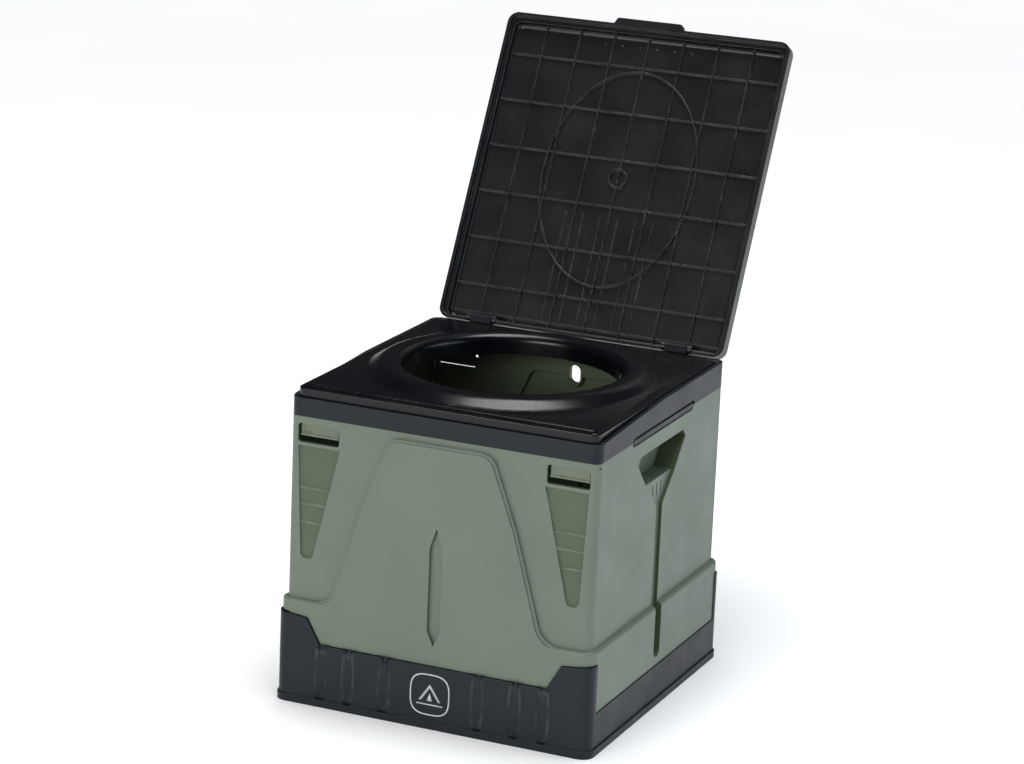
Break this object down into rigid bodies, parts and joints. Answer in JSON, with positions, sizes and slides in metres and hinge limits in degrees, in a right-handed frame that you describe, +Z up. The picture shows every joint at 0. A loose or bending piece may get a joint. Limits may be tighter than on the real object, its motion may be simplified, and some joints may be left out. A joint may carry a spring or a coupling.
{
  "type": "portable camp toilet",
  "caption": "Folding box-shaped camp toilet: tray base, green hinged walls, top frame with ring seat and a ribbed lid standing open.",
  "frame": {"origin": "middle of the tray's underside, on the ground", "axes": "+Z up, +X to the right as seen from the front, +Y back to the lid hinge"},
  "size_m": [0.32, 0.4766, 0.5901],
  "materials": {
    "black_plastic": "satin moulded, charcoal",
    "seat_black": "semi-gloss moulded, black",
    "green_plastic": "satin moulded, olive green",
    "latch_green": "satin moulded, olive green",
    "steel": "drawn, plain"
  },
  "bodies": {
    "base": {"base_tray": "black_plastic", "front_wall": "green_plastic", "rear_wall": "green_plastic", "left_fold_rods": "steel", "right_fold_rods": "steel", "front_pivot_pins": "steel", "rear_pivot_pins": "steel"},
    "left_wall": {"left_wall": "green_plastic"},
    "right_wall": {"right_wall": "green_plastic"},
    "latch_front_left": {"latch_front_left": "latch_green"},
    "latch_front_right": {"latch_front_right": "latch_green"},
    "latch_rear_left": {"latch_rear_left": "latch_green"},
    "latch_rear_right": {"latch_rear_right": "latch_green"},
    "top": {"top_frame": "black_plastic", "seat_hinge_pins": "steel", "lid_clip_left": "black_plastic", "lid_clip_right": "black_plastic", "clip_screws": "steel"},
    "seat": {"seat_plate": "seat_black"},
    "lid": {"lid": "seat_black", "lid_hinge_pins": "steel"}
  },
  "joints": [
    {"name": "top_lift", "type": "slide", "parent": "base", "child": "top", "axis": [0, 0, 1], "range_m": [0, 0.08]},
    {"name": "seat_hinge", "type": "hinge", "parent": "top", "child": "seat", "pos_m": [0, 0.146, 0.2968], "axis": [-1, 0, 0], "range_deg": [0, 75]},
    {"name": "lid_hinge", "type": "hinge", "parent": "top", "child": "lid", "pos_m": [0, 0.156, 0.304], "axis": [-1, 0, 0], "range_deg": [-117.6, 0]},
    {"name": "right_wall_fold", "type": "hinge", "parent": "base", "child": "right_wall", "pos_m": [0.146, 0, 0.046], "axis": [0, -1, 0], "range_deg": [0, 90]},
    {"name": "left_wall_fold", "type": "hinge", "parent": "base", "child": "left_wall", "pos_m": [-0.146, 0, 0.046], "axis": [0, 1, 0], "range_deg": [0, 81]},
    {"name": "latch_front_left_press", "type": "hinge", "parent": "base", "child": "latch_front_left", "pos_m": [0, -0.1496, 0.2704], "axis": [1, 0, 0], "range_deg": [0, 8]},
    {"name": "latch_front_right_press", "type": "hinge", "parent": "base", "child": "latch_front_right", "pos_m": [0, -0.1496, 0.2704], "axis": [1, 0, 0], "range_deg": [0, 8]},
    {"name": "latch_rear_left_press", "type": "hinge", "parent": "base", "child": "latch_rear_left", "pos_m": [0, 0.1496, 0.2704], "axis": [-1, 0, 0], "range_deg": [0, 8]},
    {"name": "latch_rear_right_press", "type": "hinge", "parent": "base", "child": "latch_rear_right", "pos_m": [0, 0.1496, 0.2704], "axis": [-1, 0, 0], "range_deg": [0, 8]}
  ]
}
